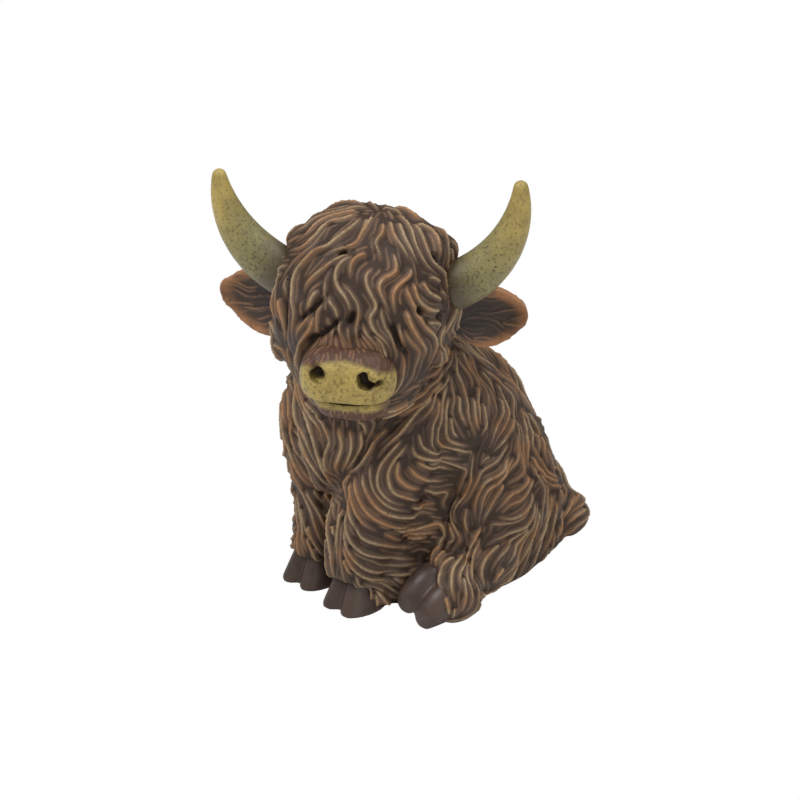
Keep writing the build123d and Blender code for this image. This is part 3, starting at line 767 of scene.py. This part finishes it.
class Paint:
    """A procedural material under construction."""

    def __init__(self, name, roughness, specular=0.35):
        self.material = bpy.data.materials.new(name)
        self.material.use_nodes = True
        self.tree = self.material.node_tree
        self.surface = self.tree.nodes["Principled BSDF"]
        self.surface.inputs["Roughness"].default_value = roughness
        self.surface.inputs["Specular IOR Level"].default_value = specular
        self.place = self.tree.nodes.new("ShaderNodeTexCoord").outputs["Object"]

    def put(self, value, socket):
        if isinstance(value, bpy.types.NodeSocket):
            self.tree.links.new(value, socket)
        else:
            socket.default_value = value

    def noise(self, size, detail=3.0):
        """Noise from 0 to 1 with features of this size in millimetres."""
        node = self.tree.nodes.new("ShaderNodeTexNoise")
        self.put(self.place, node.inputs["Vector"])
        node.inputs["Scale"].default_value = 1 / (size * MM)
        node.inputs["Detail"].default_value = detail
        return node.outputs["Fac"]

    def ramp(self, value, low, high, start=0.0, end=1.0):
        node = self.tree.nodes.new("ShaderNodeMapRange")
        node.interpolation_type = "SMOOTHSTEP"
        names = ("Value", "From Min", "From Max", "To Min", "To Max")
        for name, item in zip(names, (value, low, high, start, end)):
            self.put(item, node.inputs[name])
        return node.outputs["Result"]

    def times(self, a, b):
        node = self.tree.nodes.new("ShaderNodeMath")
        node.operation = "MULTIPLY"
        self.put(a, node.inputs[0])
        self.put(b, node.inputs[1])
        return node.outputs["Value"]

    def mix(self, share, a, b):
        node = self.tree.nodes.new("ShaderNodeMix")
        node.data_type = "RGBA"
        self.put(share, node.inputs["Factor"])
        self.put(a, node.inputs[MIX_FIRST])
        self.put(b, node.inputs[MIX_SECOND])
        return node.outputs[MIX_RESULT]

    def patches(self, size, a, b):
        """Two colours in soft patches of this size in millimetres."""
        return self.mix(self.ramp(self.noise(size), *PATCH_EDGE), a, b)

    def attribute(self, name):
        node = self.tree.nodes.new("ShaderNodeAttribute")
        node.attribute_name = name
        return node.outputs["Fac"]

    def distance(self, point):
        """The distance in metres from a point given in millimetres."""
        node = self.tree.nodes.new("ShaderNodeVectorMath")
        node.operation = "DISTANCE"
        self.put(self.place, node.inputs[0])
        node.inputs[1].default_value = tuple(point * MM)
        return node.outputs["Value"]

    def pinholes(self, size, radius, share):
        """1 in small round holes scattered over the surface, else 0."""
        node = self.tree.nodes.new("ShaderNodeTexVoronoi")
        self.put(self.place, node.inputs["Vector"])
        node.inputs["Scale"].default_value = 1 / (size * MM)
        inside = self.ramp(node.outputs["Distance"], radius / size, HOLE_CORE * radius / size)
        split = self.tree.nodes.new("ShaderNodeSeparateColor")
        self.put(node.outputs["Color"], split.inputs[0])
        return self.times(inside, self.ramp(split.outputs[0], share, share - HOLE_CHOICE))

    def finish(self, colour, height=None, strength=0.3, depth=0.2):
        self.put(colour, self.surface.inputs["Base Color"])
        if height is not None:
            bump = self.tree.nodes.new("ShaderNodeBump")
            bump.inputs["Strength"].default_value = strength
            bump.inputs["Distance"].default_value = depth * MM
            self.put(height, bump.inputs["Height"])
            self.put(bump.outputs["Normal"], self.surface.inputs["Normal"])
        return self.material


def coat_paint():
    """Brown paint with a dark wash and painted shade in the valleys, tan brushed on the crests, and painted
    shade in the gaps and pinholes.
    """
    paint = Paint("coat_paint", 0.55, 0.2)
    crest = paint.attribute("crest")
    patch = paint.noise(16.0)
    grain = paint.noise(1.3)
    base = paint.mix(paint.ramp(patch, *PATCH_EDGE), COAT_DARK, COAT_LIGHT)
    # Dark wash and painted shade in the valleys between the ridges
    base = paint.mix(paint.ramp(crest, 0.3, 0.05), base, COAT_VALLEY_WASH_AND_SHADE)
    warm = paint.ramp(paint.noise(11.0), 0.45, 0.62)
    tan = paint.mix(warm, TAN, WARM_TAN)
    brushed = paint.times(paint.ramp(crest, 0.3, 0.8), paint.ramp(grain, 0.25, 0.6, 0.5, 1.0))
    brushed = paint.times(brushed, paint.ramp(patch, 0.3, 0.7, 0.7, 1.0))
    wash = paint.times(paint.times(warm, 0.2), paint.ramp(crest, 0.0, 0.3))
    colour = paint.mix(wash, base, COAT_WASH)
    colour = paint.mix(brushed, colour, tan)
    rosy = paint.mix(paint.ramp(crest, 0.1, 0.7), SHORT_HAIR_DARK, SHORT_HAIR_LIGHT)
    colour = paint.mix(paint.times(paint.attribute("bridge"), 0.8), colour, rosy)
    # Painted shade: the carved gaps in the fringe and on the legs are painted near-black
    colour = paint.mix(paint.ramp(paint.attribute("gap"), 0.25, 0.9), colour, GAP_PAINTED_SHADE)
    # Pinholes painted as dark dots of painted shade
    colour = paint.mix(paint.pinholes(6.5, 0.42, 0.4), colour, PINHOLE_SHADE)
    return paint.finish(colour, grain, 0.35, 0.2)


def plain_paint(name, dark, light, size, roughness):
    """Two tones of one colour in soft patches."""
    paint = Paint(name, roughness, 0.3)
    colour = paint.patches(size, linear(dark), linear(light))
    return paint.finish(colour, paint.noise(size / 6), 0.25, 0.15)


def horn_paint():
    """Ochre with specks, grey-green and darker near the root."""
    paint = Paint("horn_paint", 0.5)
    reach = paint.distance(HEAD_CENTRE)
    colour = paint.patches(7.0, HORN_LIGHT, HORN_DARK)
    greenish = paint.mix(paint.ramp(paint.noise(4.0), 0.4, 0.6), HORN_GREEN, HORN_PALE_GREEN)
    colour = paint.mix(paint.ramp(reach, *HORN_GREEN_REACH, 0.0, 0.9), colour, greenish)
    colour = paint.mix(paint.ramp(reach, *HORN_ROOT_REACH, 0.0, 0.85), colour, HORN_ROOT)
    specks = paint.ramp(paint.noise(0.9, 5.0), 0.5, 0.66)
    specks = paint.times(specks, paint.ramp(reach, *HORN_SPECK_REACH, 0.3, 0.85))
    colour = paint.mix(specks, colour, HORN_SPECK)
    # Pinholes painted as dark dots of painted shade
    colour = paint.mix(paint.pinholes(7.0, 0.4, 0.3), colour, PINHOLE_SHADE)
    return paint.finish(colour, paint.noise(1.2), 0.3, 0.15)


def nose_paint():
    """Ochre with a brown wash, and brown hair above the pad."""
    paint = Paint("nose_paint", 0.5, 0.2)
    grain = paint.noise(1.1, 5.0)
    ochre = paint.patches(4.0, NOSE_LIGHT, NOSE_DARK)
    ochre = paint.mix(paint.ramp(grain, 0.48, 0.7, 0.0, 0.75), ochre, NOSE_WASH)
    crest = paint.attribute("crest")
    hair = paint.mix(paint.ramp(crest, 0.1, 0.8), SHORT_HAIR_DARK, SHORT_HAIR_LIGHT)
    colour = paint.mix(paint.attribute("pad"), hair, ochre)
    # Dark nostrils, and painted shade under the pad and on the inside of the lower lip
    colour = paint.mix(paint.attribute("gap"), colour, NOSTRIL_DARK_AND_SHADE)
    # Pinholes painted as dark dots of painted shade
    colour = paint.mix(paint.pinholes(6.0, 0.35, 0.25), colour, PINHOLE_SHADE)
    return paint.finish(colour, grain, 0.3, 0.15)


def ear_paint():
    """Brown, with painted shade in the hollow, and orange-tan at the rim."""
    paint = Paint("ear_paint", 0.55)
    crest = paint.attribute("crest")
    colour = paint.mix(paint.ramp(crest, 0.1, 0.7), EAR_DARK, EAR_LIGHT)
    rim = paint.times(paint.attribute("rim"), paint.ramp(paint.noise(5.0), 0.3, 0.6, 0.5, 1.0))
    colour = paint.mix(rim, colour, EAR_ORANGE)
    # Painted shade in the hollow of the ear
    colour = paint.mix(paint.attribute("gap"), colour, EAR_SHADE)
    # Pinholes painted as dark dots of painted shade
    colour = paint.mix(paint.pinholes(6.0, 0.35, 0.2), colour, PINHOLE_SHADE)
    return paint.finish(colour, paint.noise(1.1), 0.3, 0.15)


PAINTS = {
    "coat": coat_paint(),
    "ear": ear_paint(),
    "nose": nose_paint(),
    "horn": horn_paint(),
    "hoof": plain_paint("hoof_paint", "382B25", "46372F", 10.0, 0.42),
    "bare_resin": plain_paint("resin", "C9C2B4", "D6D0C4", 12.0, 0.5),
    "felt": plain_paint("felt", "1A1A1A", "262626", 1.0, 0.95),
    "dowel_wood": plain_paint("dowel_wood", "B08A5A", "C4A070", 3.0, 0.6),
    "steel": plain_paint("steel", "9A9A9C", "B4B4B6", 2.0, 0.3),
}
for subpart in frame["record"]["subparts"]:
    cad = nodes[subpart["node"]]
    cad.data.materials.clear()
    cad.data.materials.append(PAINTS[subpart["material_slot"]])


# The coat


def add_piece(node, skin, quads, marks, slot):
    """A piece of the scene that stands for one casting."""
    used, places = np.unique(quads, return_inverse=True)
    mesh = new_mesh(node + "_cast", skin.verts[used] * MM, places.reshape(-1, 4))
    for mark, values in marks.items():
        layer = mesh.attributes.new(mark, "FLOAT", "POINT")
        layer.data.foreach_set("value", values[used].astype(np.float32))
    mesh.shade_smooth()
    mesh.normals_split_custom_set_from_vertices(skin.normals[used].tolist())
    mesh.materials.append(PAINTS[slot])
    piece = bpy.data.objects.new(node + "_cast", mesh)
    bpy.context.scene.collection.objects.link(piece)
    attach(piece, "root")
    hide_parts(node)


def strand_spacing(skin, owner, spacings):
    """The strand spacing at each vertex."""
    spacing = np.where(is_any(owner, HEAD_NODES), spacings["head"], spacings["body"])
    if "bridge" in spacings:
        share = bridge_share(skin.verts) * is_any(owner, HEAD_NODES)
        spacing = spacing + share * (spacings["bridge"] - spacing)
    return spacing


def coat_strands(skin):
    """The locks, ridges and fine hairs of the coat, and the gaps between them, which are painted dark as
    painted shade.
    """
    owner = nearest_node(skin.verts)
    seen = cast_strokes(skin, ((HEAD_SHEET, HEAD_STROKES), (BODY_SHEET, BODY_STROKES)))
    flank = cast_strokes(skin, ((BODY_SHEET, FLANK_STROKES),))
    guides = on_skin(skin, seen + flank + mirrored(flank))
    head_gaps = on_skin(skin, cast_strokes(skin, ((HEAD_SHEET, HEAD_GAPS),)))
    leg_gaps = on_skin(skin, cast_strokes(skin, ((LEG_SHEET, LEG_GAPS),)))
    way = hair_field(skin, owner, guides)
    lock_paths = comb(skin, way, strand_spacing(skin, owner, LOCK_SPACING), LOCK_LENGTHS, SEED + 1)
    ridge_paths = comb(skin, way, strand_spacing(skin, owner, RIDGE_SPACING), RIDGE_LENGTHS, SEED + 2, guides)
    main_paths = guides + ridge_paths
    fine_spacing = strand_spacing(skin, owner, FINE_SPACING)
    fine_paths = comb(skin, way, fine_spacing, FINE_LENGTHS, SEED + 3, main_paths)
    locks = Strands(lock_paths, strand_strengths(lock_paths, SEED), LOCK_ENDS)
    ridges = Strands(main_paths, [1.0] * len(guides) + strand_strengths(ridge_paths, SEED))
    hairs = Strands(fine_paths, strand_strengths(fine_paths, SEED), FINE_ENDS)
    depths = [1.0] * len(head_gaps) + [LEG_GAP_SHARE] * len(leg_gaps)
    gaps = Strands(head_gaps + leg_gaps, depths, GAP_ENDS)
    return locks, ridges, hairs, gaps


def build_coat():
    """The hair: locks, then ridges along every strand, and gaps in the fringe and on the legs, carved and
    painted dark as painted shade.
    """
    skin = skin_over(COAT_NODES + ("base_plate",), VOXEL, GROW, SKIN_ROUNDS, TUFTS)
    for middle, reach, height in SWELLS:
        distance = np.linalg.norm(skin.verts - middle, axis=1)
        skin.raise_by(height * np.exp(-((distance / reach) ** 2)))
    locks, ridges, hairs, gaps = coat_strands(skin)
    coarse = new_mesh("coarse", skin.verts, skin.quads)
    fine = Skin(*mesh_arrays(with_modifier(coarse, "SUBSURF", levels=1, render_levels=1)))
    fine_owner = nearest_node(fine.verts)
    bridge = bridge_share(fine.verts) * is_any(fine_owner, HEAD_NODES)
    loose = 1.0 - is_any(fine_owner, LOCKED_NODES)[:, None]
    for _ in range(LOOSE_ROUNDS):
        loose = fine.neighbour_mean(loose)

    across, strength = locks.near(fine.verts)
    lump = strength * np.clip(1 - (across / LOCK_WIDTH) ** 2, 0, 1)
    across, strength = ridges.near(fine.verts)
    strength = strength * ramp(np.linalg.norm(fine.verts - CROWN, axis=1), *CROWN_FADE)
    crest = np.sqrt(strength) * np.exp(-across / CREST_WIDTH)
    ridge = strength * (np.exp(-across / RIDGE_WIDTH) + np.exp(-across / RIDGE_FOOT)) / 2
    across, strength = hairs.near(fine.verts)
    hair = strength * np.exp(-across / FINE_WIDTH)
    crest = np.maximum(crest, FINE_CREST * hair)
    # The gap mark carves the gaps and marks where they are painted dark as painted shade
    across, strength = gaps.near(fine.verts)
    gap = strength * np.exp(-((across / GAP_WIDTH) ** 2))
    height = LOCK_HEIGHT * loose[:, 0] * lump + RIDGE_HEIGHT * ridge + FINE_HEIGHT * hair - SKIN_SINK
    height = height * (1 - BRIDGE_FLATNESS * bridge) - GAP_DEPTH * gap
    fine.raise_by(height * ramp(fine.verts[:, 2], *FLOOR_FADE))
    marks = {"crest": crest, "gap": gap, "bridge": bridge}
    for number, node in enumerate(COAT_NODES):
        add_piece(node, fine, fine.quads[fine_owner[fine.quads[:, 0]] == number], marks, "coat")


build_coat()


# Nose and lip

# The stretches of the nostrils: their ends, to the left of the head's centre and up from it, and their radius
NOSTRILS = (
    ((-8.9, -9.2), (-8.0, -10.4), 2.1),
    ((6.4, -9.8), (6.9, -12.0), 1.3),
    ((6.9, -12.0), (9.4, -13.0), 1.2),
    ((9.4, -13.0), (12.2, -11.8), 0.9),
)
NOSTRIL_DEPTH = 2.0
NOSTRIL_STEEPNESS = 4
NOSTRIL_BALL = HEAD_CENTRE + 9.9 * HEAD_LEFT + 36.9 * HEAD_FRONT - 9.9 * UP
NOSTRIL_BALL_RADIUS = 2.5
BRISTLE_SPACING = 1.15
BRISTLE_LENGTHS = (2.0, 8.0)
BRISTLE_HEIGHT = 0.4
BRISTLE_WIDTH = 0.35
# Voxel size, growth and rounds of smoothing
MUZZLE_MESH = (0.38, 0.15, 9)
LIP_MESH = (0.36, 0.15, 3)
# Edges of the pad, the mouth and the lip, each of which fades between two places or slopes
PAD_TOP = (-5.0, -6.6)
PAD_CURVE = 4.5
PAD_HALF_WIDTH = 15.0
PAD_FRONT = (28.0, 31.0)
# Painted shade on faces that turn downwards fades in between these slopes
UNDERSIDE_SHADE = (-0.75, -0.95)
LIP_SET_BACK = 1.8
LIP_DROP = 1.2
LIP_OPENING = 1.2
LIP_OPENING_WIDTH = 8.0
LIP_OPENING_EDGE = (-24.0, -20.5)
# Painted shade on the upward-facing inside of the lip fades in between these slopes
LIP_INNER_SHADE = (0.6, 0.9)
LIP_PAD = (-24.5, -22.5)
LIP_PAD_SIDE = (13.0, 9.0)
LIP_HAIR_LEAN = 0.2


def stretch_distance(x, z, start, end):
    """How far points in a plane are from a straight stretch in it."""
    start, end = np.array(start), np.array(end)
    way = end - start
    offset = np.stack([x, z], axis=1) - start
    share = np.clip(offset @ way / (way @ way), 0, 1)[:, None]
    return np.linalg.norm(offset - share * way, axis=1)


def bristles(skin, way, seed, spacing=BRISTLE_SPACING, lengths=BRISTLE_LENGTHS):
    """Short fine strands all over a small skin."""
    way = unit(way - dots(way, skin.normals) * skin.normals)
    angle = WAVE_ANGLE * wave(2 * skin.verts, np.random.default_rng(seed))[:, None]
    way = np.cos(angle) * way + np.sin(angle) * np.cross(skin.normals, way)
    paths = comb(skin, way, np.full(len(skin.verts), spacing), lengths, seed)
    across, strength = Strands(paths, strand_strengths(paths, seed)).near(skin.verts)
    return strength * np.exp(-across / BRISTLE_WIDTH)


def build_muzzle():
    """The pad with its nostrils, and bristles above it."""
    ball = (NOSTRIL_BALL, (NOSTRIL_BALL_RADIUS,) * 3)
    skin = skin_over(("muzzle",), *MUZZLE_MESH, (ball,))
    left, front, high = on_head(skin.verts)
    dip = PAD_CURVE * (left / PAD_HALF_WIDTH) ** 2
    pad = ramp(high, PAD_TOP[0] - dip, PAD_TOP[1] - dip)
    crest = bristles(skin, skin.verts - CROWN, SEED + 3) * (1 - pad)
    gap = np.zeros(len(skin.verts))
    for start, end, radius in NOSTRILS:
        share = stretch_distance(left, high, start, end) / radius
        gap = np.maximum(gap, np.exp(-(share ** NOSTRIL_STEEPNESS)))
    gap *= ramp(front, *PAD_FRONT)
    skin.raise_by(BRISTLE_HEIGHT * crest - NOSTRIL_DEPTH * gap)
    # Painted shade: the faces that turn downwards are marked to be painted as dark as the nostrils
    shade = np.maximum(gap, ramp(skin.normals[:, 2], *UNDERSIDE_SHADE))
    add_piece("muzzle", skin, skin.quads, {"crest": crest, "pad": pad, "gap": shade}, "nose")


def build_lip():
    """The lower lip, which opens a little in the middle and bristles towards the chin."""
    skin = skin_over(("lower_lip",), *LIP_MESH)
    left, _, high = on_head(skin.verts)
    # The upward-facing inside of the lip, under the pad, is painted dark as painted shade and kept free of
    # bristles
    inner_shade = ramp(skin.normals[:, 2], *LIP_INNER_SHADE)
    fall = np.tile(HEAD_FRONT * LIP_HAIR_LEAN - UP, (len(skin.verts), 1))
    crest = bristles(skin, fall, SEED + 4)
    pad = ramp(high, *LIP_PAD) * ramp(np.abs(left), *LIP_PAD_SIDE)
    skin.verts -= LIP_SET_BACK * HEAD_FRONT + LIP_DROP * UP
    middle = np.exp(-((left / LIP_OPENING_WIDTH) ** 2))
    skin.verts[:, 2] -= LIP_OPENING * ramp(high, *LIP_OPENING_EDGE) * middle
    skin.update_normals()
    skin.raise_by(BRISTLE_HEIGHT * crest * (1 - inner_shade))
    add_piece("lower_lip", skin, skin.quads, {"crest": crest, "pad": pad, "gap": inner_shade}, "nose")


build_muzzle()
build_lip()


# Horns, ears and hooves

EAR_BACK = math.radians(18)
EAR_RISE = math.radians(-14)
EAR_LENGTH = 25.0
EAR_HALF_WIDTH = 9.0
EAR_REACH = 27.5
EAR_STRAND_SPACING = 1.7
EAR_STRAND_LENGTHS = (3.0, 30.0)
EAR_STRAND_HEIGHT = 0.7
EAR_DROOP = {"left": 0.3, "right": 0.6}
EAR_STRETCH = {"left": 0.0, "right": 0.12}
EAR_DROOP_START = (2.0, 10.0)
EAR_FAN = 3.0
EAR_RIM = (0.8, 1.02)
# Painted shade in the hollow fades in towards the ear's middle between these shares of its size
EAR_HOLLOW_SHADE = (0.85, 0.45)
EAR_FACE_LEAN = 0.2
EAR_FACE = (0.1, 0.5)
EAR_STRAND_CLEAR = 0.6
EAR_STRAND_SINK = 0.3
# Voxel size, growth and rounds of smoothing
EAR_MESH = (0.42, 0.5, 4)
HORN_MESH = (0.7, 0.9, 3)
FRONT_HOOF_MESH = (0.55, 0.5, 10)
HIND_HOOF_MESH = (0.55, 0.3, 8)


def build_ear(side, sign):
    """A cupped ear with grooves that fan out from its root."""
    node = "ear_" + side
    skin = skin_over((node,), *EAR_MESH)
    outward = math.cos(EAR_BACK) * sign * HEAD_LEFT - math.sin(EAR_BACK) * HEAD_FRONT
    root = HEAD_CENTRE + EAR_REACH * (math.cos(EAR_RISE) * outward + math.sin(EAR_RISE) * UP)
    offset = skin.verts - root
    along, high = offset @ outward, offset[:, 2]
    skin.verts[:, 2] += EAR_DROOP[side] * np.minimum(high, 0) * ramp(along, *EAR_DROOP_START)
    skin.verts += EAR_STRETCH[side] * np.maximum(along, 0)[:, None] * outward
    skin.update_normals()
    edge = np.sqrt((along / EAR_LENGTH) ** 2 + (high / EAR_HALF_WIDTH) ** 2)
    crest = bristles(skin, offset + EAR_FAN * outward, SEED + 6, EAR_STRAND_SPACING, EAR_STRAND_LENGTHS)
    facing_front = ramp(skin.normals @ (HEAD_FRONT - EAR_FACE_LEAN * outward), *EAR_FACE)
    # Painted shade in the front-facing hollow of the ear, less on the strands
    gap = facing_front * ramp(edge, *EAR_HOLLOW_SHADE) * (1 - EAR_STRAND_CLEAR * crest)
    rim = ramp(edge, *EAR_RIM)
    skin.raise_by(EAR_STRAND_HEIGHT * (crest - EAR_STRAND_SINK))
    add_piece(node, skin, skin.quads, {"crest": crest, "rim": rim, "gap": gap}, "ear")


def build_plain(node, mesh_settings, slot):
    """A smooth cast piece with its edges rounded."""
    skin = skin_over((node,), *mesh_settings)
    skin.keep_above_floor()
    add_piece(node, skin, skin.quads, {}, slot)


for side, sign in (("left", 1), ("right", -1)):
    build_ear(side, sign)
    build_plain("horn_" + side, HORN_MESH, "horn")
    build_plain("front_hoof_" + side, FRONT_HOOF_MESH, "hoof")
    build_plain("hind_hoof_" + side, HIND_HOOF_MESH, "hoof")


# Stage, light and camera

FLOOR_SIZE = 6.0
FLOOR_COLOUR = (0.85, 0.85, 0.85, 1.0)
FLOOR_ROUGHNESS = 0.9
WORLD_LIGHT = 0.36
# Name, place, size and power of each light
LIGHTS = (
    ("key_light", (-0.30, -0.70, 1.00), 0.5, 11.0),
    ("fill_light", (0.95, -0.35, 0.55), 0.8, 3.5),
    ("top_light", (0.25, 0.35, 1.1), 0.7, 8.0),
)


def camera_white(name):
    """A pale surface that the camera sees as white."""
    material = bpy.data.materials.new(name)
    material.use_nodes = True
    tree = material.node_tree
    output = tree.nodes["Material Output"]
    surface = tree.nodes["Principled BSDF"]
    surface.inputs["Base Color"].default_value = FLOOR_COLOUR
    surface.inputs["Roughness"].default_value = FLOOR_ROUGHNESS
    glow = tree.nodes.new("ShaderNodeEmission")
    rays = tree.nodes.new("ShaderNodeLightPath")
    mix = tree.nodes.new("ShaderNodeMixShader")
    tree.links.new(rays.outputs["Is Camera Ray"], mix.inputs[0])
    tree.links.new(surface.outputs[0], mix.inputs[1])
    tree.links.new(glow.outputs[0], mix.inputs[2])
    tree.links.new(mix.outputs[0], output.inputs["Surface"])
    return material


def white_world(strength):
    """Even light from all round, seen by the camera as white."""
    world = bpy.data.worlds.new("studio")
    world.use_nodes = True
    tree = world.node_tree
    background = tree.nodes["Background"]
    rays = tree.nodes.new("ShaderNodeLightPath")
    level = tree.nodes.new("ShaderNodeMapRange")
    level.inputs["To Min"].default_value = strength
    level.inputs["To Max"].default_value = 1.0
    tree.links.new(rays.outputs["Is Camera Ray"], level.inputs["Value"])
    tree.links.new(level.outputs["Result"], background.inputs["Strength"])
    background.inputs["Color"].default_value = (1.0, 1.0, 1.0, 1.0)
    bpy.context.scene.world = world


floor_mesh = bpy.data.meshes.new("floor")
half = FLOOR_SIZE / 2
corners = [(-half, -half, 0), (half, -half, 0), (half, half, 0), (-half, half, 0)]
floor_mesh.from_pydata(corners, [], [(0, 1, 2, 3)])
floor_mesh.materials.append(camera_white("floor"))
floor = bpy.data.objects.new("floor", floor_mesh)
bpy.context.scene.collection.objects.link(floor)
white_world(WORLD_LIGHT)
for name, place, size, power in LIGHTS:
    light = bpy.data.lights.new(name, "AREA")
    light.size = size
    light.energy = power
    lamp = bpy.data.objects.new(name, light)
    lamp.location = place
    lamp.rotation_euler = facing(Vector(place), TARGET).to_euler()
    bpy.context.scene.collection.objects.link(lamp)

lens = bpy.data.cameras.new("camera")
lens.lens = LENS
lens.sensor_width = SENSOR
camera = bpy.data.objects.new("camera", lens)
camera.location = EYE
camera.rotation_euler = facing(EYE, TARGET).to_euler()
bpy.context.scene.collection.objects.link(camera)
bpy.context.scene.camera = camera
bpy.context.scene.view_settings.view_transform = "Standard"
